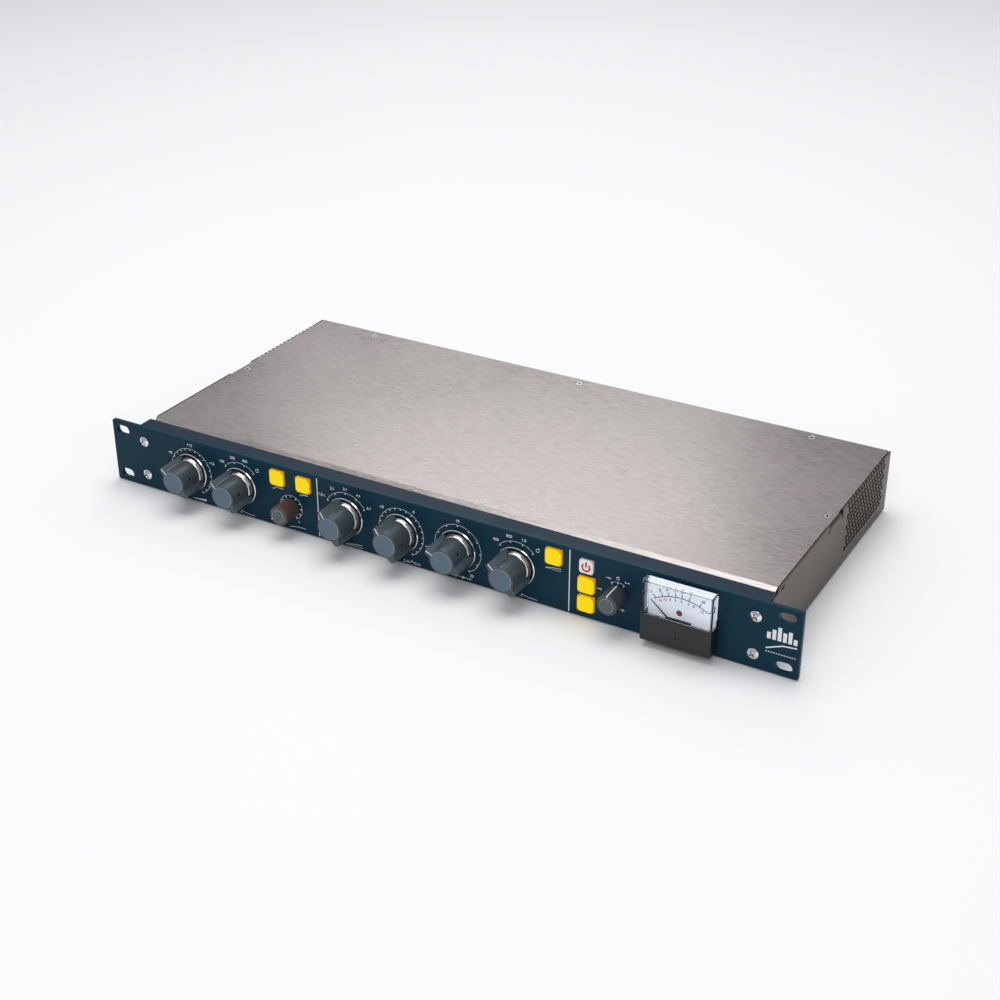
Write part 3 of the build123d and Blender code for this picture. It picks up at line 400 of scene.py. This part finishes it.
class Drawing:
    """Flat shapes facing the front, each a thin closed solid. Points are (x, z) in metres."""

    def __init__(self, name, back, thickness=PRINT_T):
        self.name = name
        self.back = back
        self.front = back - thickness
        self.mesh = bmesh.new()

    def band(self, left, right, closed=False):
        """The strip between two paths with the same number of points."""
        make = self.mesh.verts.new
        rows = [
            (make((a[0], self.front, a[1])), make((b[0], self.front, b[1])),
             make((b[0], self.back, b[1])), make((a[0], self.back, a[1])))
            for a, b in zip(left, right)
        ]
        pairs = list(zip(rows, rows[1:]))
        if closed:
            pairs.append((rows[-1], rows[0]))
        for one, two in pairs:
            for k in range(4):
                self.mesh.faces.new((one[k], one[(k + 1) % 4], two[(k + 1) % 4], two[k]))
        if not closed:
            self.mesh.faces.new(reversed(rows[0]))
            self.mesh.faces.new(rows[-1])

    def line(self, points, width=LINE_W):
        """A line of even width along a path."""
        path = [Vector(p) for p in points]
        left = []
        right = []
        for i, point in enumerate(path):
            before = (point - path[i - 1]).normalized() if i else None
            after = (path[i + 1] - point).normalized() if i + 1 < len(path) else None
            along = ((before or after) + (after or before)).normalized()
            across = Vector((-along.y, along.x))
            lean = max(0.5, abs(along.dot(after or before)))
            left.append(point + across * width / 2 / lean)
            right.append(point - across * width / 2 / lean)
        self.band(left, right)

    def loop(self, points, width=LINE_W):
        """A closed outline of even width round a convex shape."""
        centre = sum((Vector(p) for p in points), Vector((0, 0))) / len(points)
        reach = max((Vector(p) - centre).length for p in points)
        inner = [centre + (Vector(p) - centre) * (1 - width / reach * 1.35) for p in points]
        self.band([Vector(p) for p in points], inner, closed=True)

    def arc(self, centre, radius, start, end, width=LINE_W):
        steps = max(6, int(abs(end - start) / 4))
        angles = [start + (end - start) * k / steps for k in range(steps + 1)]
        outer = [polar(centre, radius + width / 2, a) for a in angles]
        inner = [polar(centre, radius - width / 2, a) for a in angles]
        self.band(outer, inner)

    def tick(self, centre, inner, outer, degrees, width=TICK_W):
        self.line([polar(centre, inner, degrees), polar(centre, outer, degrees)], width)

    def fill(self, points):
        """A filled convex shape."""
        centre = sum((Vector(p) for p in points), Vector((0, 0))) / len(points)
        front = [self.mesh.verts.new((x, self.front, z)) for x, z in points]
        back = [self.mesh.verts.new((x, self.back, z)) for x, z in points]
        self.mesh.faces.new(front)
        self.mesh.faces.new(reversed(back))
        for k in range(len(points)):
            j = (k + 1) % len(points)
            self.mesh.faces.new((front[k], back[k], back[j], front[j]))
        return centre

    def dot(self, centre, radius, steps=24):
        self.fill([polar(centre, radius, 360 * k / steps) for k in range(steps)])

    def number(self, words, centre, size=NUMBER_SIZE, turn=0.0, heavier=0.02 * MM):
        """Plain figures centred on a point."""
        curve = bpy.data.curves.new("figures", "FONT")
        curve.body = words
        curve.size = size
        curve.offset = heavier
        curve.align_x = "CENTER"
        curve.align_y = "CENTER"
        curve.extrude = (self.back - self.front) / 2
        curve.resolution_u = 3
        holder = bpy.data.objects.new("figures", curve)
        bpy.context.collection.objects.link(holder)
        bpy.context.view_layer.update()
        figures = bpy.data.meshes.new_from_object(holder.evaluated_get(bpy.context.evaluated_depsgraph_get()))
        stand = Euler((math.radians(90), 0, 0)).to_matrix().to_4x4()
        place = Matrix.Translation((centre[0], (self.front + self.back) / 2, centre[1]))
        figures.transform(place @ stand @ Matrix.Rotation(math.radians(turn), 4, "Z"))
        self.mesh.from_mesh(figures)
        bpy.data.objects.remove(holder)
        bpy.data.curves.remove(curve)
        bpy.data.meshes.remove(figures)

    def finish(self, body, material):
        bmesh.ops.remove_doubles(self.mesh, verts=self.mesh.verts, dist=1e-7)
        bmesh.ops.recalc_face_normals(self.mesh, faces=self.mesh.faces)
        return place_mesh(self.name, self.mesh, body, material)


def place_mesh(name, built, body, material, smooth=False):
    """Turns a bmesh into a piece that rides on a body."""
    mesh = bpy.data.meshes.new(name)
    built.to_mesh(mesh)
    built.free()
    mesh.materials.append(material)
    for face in mesh.polygons:
        face.use_smooth = smooth
    piece = bpy.data.objects.new(name, mesh)
    bpy.context.collection.objects.link(piece)
    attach(piece, body)
    return piece


# ---------------------------------------------------------------- printing on the panel
PANEL_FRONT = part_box("front_panel")[0][1]

# knob, first and last dial angle, step between ticks, {angle: figures}
BIG_DIALS = {
    "level": (240, -60, 15, {150: "+8", 90: "+12", 30: "+16"}),
    "limit_recovery": (135, 45, 30, {135: "100", 105: "200", 75: "800", 45: "loop"}),
    "ratio": (150, 30, 30, {150: "1.5:1", 120: "2:1", 90: "3:1", 60: "4:1", 30: "6:1"}),
    "threshold": (240, -60, 15, {135: "-10", 60: "0", -15: "+10"}),
    "gain": (240, -60, 30, {90: "10", -60: "20"}),
    "comp_recovery": (135, 45, 30, {135: "400", 105: "800", 75: "1.5", 45: "loop"}),
}

# each control's pointer angle at rest
POINTERS = {
    "level": 137.5, "limit_recovery": 135.0, "ratio": 120.0, "threshold": 122.0, "gain": 154.5,
    "comp_recovery": 135.0, "attack": 210.0, "meter_select": 90.0,
}


def knob_centre(control):
    where = middle(f"{control}_knob_cap")
    return (where.x, where.z)


def loop_sign(drawing, centre, size):
    """A ring with a gap and an arrow head: the self-acting position."""
    drawing.arc(centre, size, 60, 360, 0.3 * MM)
    tip = polar(centre, size, 60)
    drawing.fill([
        (tip[0] + 0.75 * size, tip[1] + 0.1 * size), (tip[0] - 0.1 * size, tip[1] + 0.55 * size),
        (tip[0] - 0.05 * size, tip[1] - 0.6 * size),
    ])


def big_dials(ink):
    for control, (start, end, step, figures) in BIG_DIALS.items():
        centre = knob_centre(control)
        drawing = Drawing(f"{control}_dial_print", PANEL_FRONT)
        drawing.arc(centre, DIAL_R, start, end)
        for angle in range(end, start + 1, step):
            drawing.tick(centre, TICK_INNER_R, TICK_OUTER_R, angle)
        for angle, words in figures.items():
            wide = 0.55 * MM * (len(words) - 1) * abs(math.cos(math.radians(angle)))
            spot = polar(centre, NUMBER_R + wide, angle)
            if words == "loop":
                loop_sign(drawing, spot, 1.1 * MM)
            else:
                drawing.number(words, spot)
        drawing.finish(ROOT, ink)


def small_dials(ink):
    centre = knob_centre("attack")
    drawing = Drawing("attack_dial_print", PANEL_FRONT)
    drawing.arc(centre, 8.4 * MM, 240, -60)
    for angle in range(-60, 241, 30):
        drawing.tick(centre, 6.7 * MM, 8.4 * MM, angle)
    drawing.number("2", polar(centre, 10.8 * MM, -60), 2.1 * MM)
    drawing.finish(ROOT, ink)
    centre = knob_centre("meter_select")
    drawing = Drawing("meter_select_dial_print", PANEL_FRONT)
    drawing.arc(centre, 8.1 * MM, 120, 60)
    for angle in (60, 90, 120):
        drawing.tick(centre, 6.7 * MM, 8.1 * MM, angle)
    arrow_sign(drawing, polar(centre, 11.2 * MM, 124), 1)
    loop_sign(drawing, polar(centre, 10.6 * MM, 90), 0.9 * MM)
    arrow_sign(drawing, polar(centre, 11.2 * MM, 56), -1)
    drawing.finish(ROOT, ink)


def arrow_sign(drawing, centre, bar_side):
    """An arrow to the right, with a bar at its head (+1) or its tail (-1): signal in, signal out."""
    x, z = centre
    drawing.line([(x - 1.3 * MM, z), (x + 0.5 * MM, z)], 0.3 * MM)
    drawing.fill([(x + 0.4 * MM, z - 0.6 * MM), (x + 1.3 * MM, z), (x + 0.4 * MM, z + 0.6 * MM)])
    drawing.line([(x + 1.6 * MM * bar_side, z - 0.8 * MM), (x + 1.6 * MM * bar_side, z + 0.8 * MM)], 0.3 * MM)


def curve_sign(drawing, centre, points, width=0.3 * MM):
    """A small graph: its points are in millimetres from the centre."""
    drawing.line([(centre[0] + x * MM, centre[1] + z * MM) for x, z in points], width)


def decay_points(half, height, steps=10):
    """A jump and then an easing back."""
    parts = [k / steps for k in range(steps + 1)]
    curve = [(half * (2 * t - 1), height * (2 * math.exp(-3.2 * t) - 1)) for t in parts]
    return [(-half - 1.6, -height), (-half, -height), *curve]


def attack_points(half, height, steps=10):
    """A rise that levels off."""
    parts = [k / steps for k in range(steps + 1)]
    return [(half * (2 * t - 1), height * (1 - 2 * math.exp(-3.6 * t))) for t in parts]


# signs below the controls: control, centre in x from the control's axis, kind
FUNCTION_SIGNS = {
    "level": (4.0, "wedge"),
    "limit_recovery": (4.5, "decay"),
    "attack": (4.0, "rise"),
    "ratio": (5.0, "knee"),
    "threshold": (7.0, "threshold"),
    "gain": (4.5, "amplify"),
    "comp_recovery": (9.0, "decay"),
}


def function_signs(ink):
    """Plain graph signs below the rotary controls."""
    drawing = Drawing("function_signs_print", PANEL_FRONT)
    for control, (offset, kind) in FUNCTION_SIGNS.items():
        x = knob_centre(control)[0] + offset * MM
        centre = (x, LABEL_Z)
        if kind == "wedge":
            low, high = LABEL_Z - 0.8 * MM, LABEL_Z + 0.8 * MM
            drawing.fill([(x - 6 * MM, low), (x + 6 * MM, low), (x + 6 * MM, high)])
        elif kind == "decay":
            curve_sign(drawing, centre, decay_points(5.2, 0.8))
        elif kind == "rise":
            curve_sign(drawing, centre, attack_points(6.4, 0.8))
        elif kind == "knee":
            curve_sign(drawing, centre, [(-6, -0.85), (0, 0.3), (6, 0.85)])
            curve_sign(drawing, centre, [(-6.4, -1.0), (6.4, -1.0)], 0.2 * MM)
        elif kind == "threshold":
            for k in range(5):
                curve_sign(drawing, centre, [(-6 + 2.6 * k, 0.1), (-4.4 + 2.6 * k, 0.1)], 0.25 * MM)
            peak = [(-6, -0.9), (-1.2, -0.7), (0.4, 0.9), (2, -0.7), (6.6, -0.9)]
            curve_sign(drawing, centre, peak, 0.28 * MM)
        else:
            low, high = LABEL_Z - 0.9 * MM, LABEL_Z + 0.9 * MM
            drawing.fill([(x - 1.6 * MM, low), (x + 1.0 * MM, LABEL_Z), (x - 1.6 * MM, high)])
            curve_sign(drawing, centre, [(-5.6, 0), (-1.6, 0)])
            curve_sign(drawing, centre, [(1.0, 0), (5.2, 0)])
            curve_sign(drawing, centre, [(3.2, -0.8), (3.2, 0.8)])
    drawing.finish(ROOT, ink)


def button_signs(ink):
    """Small signs beside the push buttons."""
    drawing = Drawing("button_signs_print", PANEL_FRONT)
    place = middle("limit_fast_button")
    below = place.z - 7.7 * MM
    curve_sign(drawing, (place.x, below), [(-4.6, -0.6), (-2.6, -0.6), (-2.2, 0.6), (4.6, 0.6)])
    place = middle("limit_in_button")
    curve_sign(drawing, (place.x, below), [(-3.0, -0.6), (0.2, 0.5), (3.0, 0.5)])
    curve_sign(drawing, (place.x, below), [(-3.2, 0.75), (3.2, 0.75)], 0.18 * MM)
    place = middle("compress_in_button")
    curve_sign(drawing, (place.x, place.z - 7.9 * MM), [(-5.0, -0.7), (-0.6, 0.2), (5.0, 0.7)])
    curve_sign(drawing, (place.x, place.z - 7.9 * MM), [(-5.2, -0.9), (5.2, -0.9)], 0.18 * MM)
    place = middle("bypass_button")
    arrow_sign(drawing, (place.x + 7.9 * MM, place.z), 1)
    place = knob_centre("meter_select")
    needle = (place[0] + 3.4 * MM, place[1] - 9.9 * MM)
    drawing.arc((needle[0], needle[1] - 0.8 * MM), 1.6 * MM, 150, 30, 0.28 * MM)
    curve_sign(drawing, (needle[0], needle[1] - 0.8 * MM), [(0, 0), (0.7, 1.3)])
    drawing.finish(ROOT, ink)


def white_button_mark(ink):
    """The common on-and-off sign in red on the white button, moving with it."""
    where = middle("white_button")
    drawing = Drawing("white_button_print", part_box("white_button")[0][1])
    drawing.arc((where.x, where.z - 0.3 * MM), 2.4 * MM, 130, 410, 1.1 * MM)
    drawing.line([(where.x, where.z - 0.2 * MM), (where.x, where.z + 3.1 * MM)], 1.2 * MM)
    drawing.finish("white_push", ink)


def dividers(ink):
    """Two full-height lines that part the panel's sections."""
    low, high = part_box("front_panel")
    drawing = Drawing("divider_print", PANEL_FRONT)
    left = (knob_centre("attack")[0] + knob_centre("ratio")[0]) / 2 - 0.15 * MM
    right = (middle("compress_in_button").x + middle("bypass_button").x) / 2 - 0.25 * MM
    for x in (left, right):
        drawing.line([(x, low[2] + 1.1 * MM), (x, high[2] - 1.1 * MM)], 0.6 * MM)
    drawing.finish(ROOT, ink)


def ear_sign(ink):
    """A plain sign on the right ear: level bars, a compressor's knee below them, and a dotted rule."""
    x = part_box("front_panel")[1][0] - 11.0 * MM
    drawing = Drawing("ear_sign_print", PANEL_FRONT)
    for k, height in enumerate((4.2, 6.4, 8.6, 6.0, 7.4, 3.6)):
        across = x + (3.1 * k - 7.75) * MM
        drawing.line([(across, 0.2 * MM), (across, (0.2 + height) * MM)], 2.2 * MM)
    curve_sign(drawing, (x, -3.9 * MM), [(-8.9, -2.4), (-1.0, 0.9), (1.0, 1.6), (8.9, 2.4)], 0.8 * MM)
    for k in range(12):
        curve_sign(drawing, (x, -8.2 * MM), [(-8.9 + 1.52 * k, 0), (-8.1 + 1.52 * k, 0)], 0.55 * MM)
    drawing.finish(ROOT, ink)


# ---------------------------------------------------------------- knob details
def pointer_lines(ink):
    """White inlays in the pointer grooves."""
    for control, angle in POINTERS.items():
        centre = knob_centre(control)
        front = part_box(f"{control}_knob")[0][1]
        small = control in ("attack", "meter_select")
        inner, outer = (4.95, 6.3) if small else (7.25, 11.8)
        drawing = Drawing(f"{control}_pointer_inlay", front + 0.22 * MM, 0.2 * MM)
        drawing.line([polar(centre, inner * MM, angle), polar(centre, outer * MM, angle)], 0.66 * MM)
        if small:
            side_line(drawing, control, centre, angle)
        drawing.finish(f"{control}_control", ink)


def side_line(drawing, control, centre, angle):
    """The pointer carried down the side of a small knob."""
    low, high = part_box(f"{control}_knob")
    across = Vector(polar((0, 0), 0.33 * MM, angle + 90))
    inner = Vector(polar(centre, 6.1 * MM, angle))
    outer = Vector(polar(centre, 6.36 * MM, angle))
    corners = [inner - across, outer - across, outer + across, inner + across]
    front = [drawing.mesh.verts.new((c.x, low[1] + 0.25 * MM, c.y)) for c in corners]
    back = [drawing.mesh.verts.new((c.x, high[1] - 0.3 * MM, c.y)) for c in corners]
    drawing.mesh.faces.new(front)
    drawing.mesh.faces.new(reversed(back))
    for k in range(4):
        j = (k + 1) % 4
        drawing.mesh.faces.new((front[k], back[k], back[j], front[j]))


# ---------------------------------------------------------------- meter
NEEDLE_PIVOT_Z = -8.2 * MM
METER_TICKS = {134.0: "1", 121.5: "2", 111.0: "3", 99.8: "4", 89.0: "5", 76.8: "7", 58.7: "10"}
RED_FIGURES = {130.0: "16", 121.0: "12", 111.5: "8", 101.5: "4", 89.5: "0", 76.0: "4", 66.0: "8", 50.0: "12"}
SCALE_CENTRE_Z = -19.15 * MM
SCALE_R = 30.9 * MM
METER_DOT = (-0.8 * MM, 1.85 * MM)


def meter_scale(black, red):
    """Arc, ticks and figures on the dial plate."""
    x = middle("meter_dial").x
    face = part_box("meter_dial")[0][1]
    centre = (x, SCALE_CENTRE_Z)
    pivot = (x, NEEDLE_PIVOT_Z)
    drawing = Drawing("meter_scale_print", face, 0.03 * MM)
    drawing.arc(centre, SCALE_R, 122, 57.5, 0.55 * MM)
    end = polar(centre, SCALE_R, 57.5)
    drawing.line([end, (end[0] + 1.6 * MM, end[1] + 1.1 * MM)], 0.55 * MM)
    for angle, words in METER_TICKS.items():
        inner = scale_reach(pivot, centre, angle)
        drawing.tick(pivot, inner, inner + 2.7 * MM, angle, 0.5 * MM)
        drawing.number(words, polar(pivot, inner + 4.2 * MM, angle), 2.5 * MM, heavier=0.09 * MM)
    drawing.finish(ROOT, black)
    drawing = Drawing("meter_red_print", face, 0.03 * MM)
    for angle, words in RED_FIGURES.items():
        inner = scale_reach(pivot, centre, angle)
        drawing.number(words, polar(pivot, inner - 2.0 * MM, angle), 2.1 * MM, heavier=0.08 * MM)
    drawing.dot((x + METER_DOT[0], METER_DOT[1]), 1.9 * MM)
    drawing.finish(ROOT, red)


def scale_reach(pivot, centre, degrees):
    """Distance from the pivot to the scale's arc in a direction."""
    drop = pivot[1] - centre[1]
    s = math.sin(math.radians(degrees))
    return -drop * s + math.sqrt((drop * s) ** 2 - drop ** 2 + SCALE_R ** 2)


# ---------------------------------------------------------------- finishes for the CAD nodes
def printed_cap(control, colour):
    low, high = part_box(f"{control}_knob_cap")
    radius = (high[0] - low[0]) / 2
    return cap_plastic(f"{control}_cap_moulding", middle(f"{control}_knob_cap"), radius, colour)


def finish_nodes():
    navy = (0.0045, 0.034, 0.058)
    slate = (0.013, 0.031, 0.049)
    warm = (0.366, 0.336, 0.323)
    grey = (0.099, 0.083, 0.070)
    lid = brushed_metal("brushed_lid", warm, (90, 900, 900), 0.29, 0.85, 0.28)
    tray = brushed_metal("brushed_tray", grey, (900, 110, 900), 0.42, 0.8, 0.12)
    zinc = polished_metal("zinc_plate", (0.62, 0.63, 0.62), 0.28)
    bright = polished_metal("nickel_plate", (0.80, 0.80, 0.80), 0.14)
    black_plastic = moulded_plastic("black_moulding", (0.022, 0.024, 0.022), 0.36)
    plated = brushed_metal("plated_steel", (0.50, 0.50, 0.48), (900, 900, 900), 0.35)
    # The knob's sharp edges carry a painted highlight.
    knob = moulded_plastic("knob_moulding", (0.048, 0.067, 0.076), 0.28, 0.1, edge=0.35 * MM)
    finishes = {
        "front_panel": powder_coat("navy_powder_coat", navy, 0.36),
        "front_subframe": powder_coat("slate_powder_coat", slate, 0.42),
        "top_cover": lid,
        "chassis_tray": tray,
        "rear_panel": powder_coat("black_powder_coat", (0.018, 0.019, 0.02), 0.45),
        "cover_screws": zinc,
        "chassis_screws": zinc,
        "panel_screws": bright,
        "main_board": moulded_plastic("solder_mask", (0.01, 0.10, 0.035), 0.3, 0.2),
        "board_standoffs": moulded_plastic("nylon", (0.65, 0.64, 0.6), 0.5),
        "mains_transformer": taped_winding("winding_tape", (0.45, 0.27, 0.05)),
        "audio_transformers": brushed_metal("drawn_can", (0.36, 0.37, 0.38), (200, 200, 1200), 0.4),
        "filter_capacitors": moulded_plastic("capacitor_sleeve", (0.02, 0.025, 0.07), 0.25),
        "mains_inlet": black_plastic,
        "fuse_holder": black_plastic,
        "power_switch_body": black_plastic,
        "power_rocker": moulded_plastic("rocker_moulding", (0.02, 0.02, 0.021), 0.22),
        "audio_in_socket": plated,
        "audio_out_socket": plated,
        "potentiometer_bodies": plated,
        "rotary_switch_bodies": plated,
        "control_nuts": plated,
        "button_switch_bodies": black_plastic,
        "meter_case": black_plastic,
        "meter_movement": black_plastic,
        "meter_bezel": moulded_plastic("meter_moulding", (0.007, 0.009, 0.009), 0.42),
        "meter_zero_screw": moulded_plastic("zero_screw_moulding", (0.012, 0.012, 0.012), 0.3),
        "meter_window": clear_plastic("meter_window_acrylic"),
        "meter_dial": dial_paint("meter_dial_paint", (0.86, 0.90, 0.97), 0.42),
        "meter_needle": print_ink("needle_paint", (0.012, 0.012, 0.014), 0.4),
    }
    for control in BIG_DIALS:
        where = middle(f"{control}_spindle")
        finishes[f"{control}_spindle"] = spindle_metal(f"{control}_spindle_metal", where)
        finishes[f"{control}_knob"] = knob
        finishes[f"{control}_knob_cap"] = printed_cap(control, (0.078, 0.130, 0.172))
    # Each small knob: the dark colour of the painted shade in its grooves, then the moulding's own rib
    # colour.
    ribs = {
        "attack": ((0.010, 0.008, 0.008), (0.125, 0.080, 0.078)),
        "meter_select": ((0.015, 0.018, 0.019), (0.070, 0.082, 0.084)),
    }
    for control, (groove, rib) in ribs.items():
        centre = middle(f"{control}_knob_cap")
        finishes[f"{control}_knob"] = ribbed_plastic(f"{control}_knob_moulding", centre, groove, rib)
        finishes[f"{control}_knob_cap"] = printed_cap(control, (0.068, 0.094, 0.105))
        finishes[f"{control}_shaft"] = plated
    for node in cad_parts:
        # Push-button caps carry painted light as emission; the yellow ones are lit mostly by it.
        if node.endswith("_button"):
            low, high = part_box(node)
            half = (high[0] - low[0]) / 2
            if node == "white_button":
                bright, edge = (0.86, 0.86, 0.84), (0.5, 0.5, 0.48)
                lens = painted_glow_lens("white_lens", middle(node), half, bright, edge, 0.06, 1.0)
            else:
                bright, edge = (1.0, 0.75, 0.0), (0.95, 0.42, 0.0)
                lens = painted_glow_lens(f"{node}_lens", middle(node), half, bright, edge, 0.74, 0.25)
            finishes[node] = lens
    for node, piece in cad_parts.items():
        piece.data.materials.clear()
        piece.data.materials.append(finishes[node])


# ---------------------------------------------------------------- stage
def area_light(name, place, target, size, power, colour=(1, 1, 1)):
    light = bpy.data.lights.new(name, "AREA")
    light.shape = "RECTANGLE"
    light.size, light.size_y = size
    light.energy = power
    light.color = colour
    holder = bpy.data.objects.new(name, light)
    holder.location = place
    holder.rotation_euler = (Vector(target) - Vector(place)).to_track_quat("-Z", "Y").to_euler()
    bpy.context.collection.objects.link(holder)


def stage():
    """Pale floor, soft studio light and the camera."""
    low = cad_box[0]
    bpy.ops.mesh.primitive_plane_add(size=40, location=(0, 0, low[2] - 0.0005))
    floor = bpy.context.object
    floor.name = "floor"
    paint = Shader("floor_paper", Roughness=0.85)
    paint.feed("Base Color", paint.mix(paint.noise(2, 2), (0.93, 0.93, 0.93), (0.96, 0.96, 0.96)))
    floor.data.materials.append(paint.material)

    world = bpy.data.worlds.new("studio")
    world.use_nodes = True
    world.node_tree.nodes["Background"].inputs["Color"].default_value = (0.93, 0.95, 1.0, 1)
    world.node_tree.nodes["Background"].inputs["Strength"].default_value = 0.42
    bpy.context.scene.world = world

    aim = (0.05, 0.08, 0.0)
    area_light("back_softbox", (-0.78, 1.5, 1.12), aim, (0.8, 0.6), 3.3)
    area_light("top_softbox", (-0.2, 0.3, 1.95), aim, (1.8, 1.4), 24)
    area_light("front_softbox", (0.5, -1.3, 1.15), aim, (0.7, 0.7), 5)
    area_light("right_strip", (1.3, -0.6, 0.7), aim, (0.4, 1.2), 1.0)

    camera = bpy.data.cameras.new("camera")
    camera.lens = CAMERA_LENS
    camera.sensor_width = CAMERA_SENSOR
    camera.clip_start = 0.01
    holder = bpy.data.objects.new("camera", camera)
    holder.location = CAMERA_PLACE
    holder.rotation_euler = (math.radians(90 - CAMERA_ELEVATION), 0, math.radians(CAMERA_AZIMUTH))
    bpy.context.collection.objects.link(holder)
    bpy.context.scene.camera = holder
    bpy.context.scene.view_settings.view_transform = "Standard"


white_ink = print_ink("white_silkscreen", (0.90, 0.92, 0.93))
black_ink = print_ink("black_print", (0.015, 0.015, 0.02))
red_ink = print_ink("red_print", (0.62, 0.012, 0.01))

finish_nodes()
big_dials(white_ink)
small_dials(white_ink)
function_signs(white_ink)
button_signs(white_ink)
white_button_mark(red_ink)
dividers(white_ink)
ear_sign(white_ink)
pointer_lines(white_ink)
meter_scale(black_ink, red_ink)
stage()
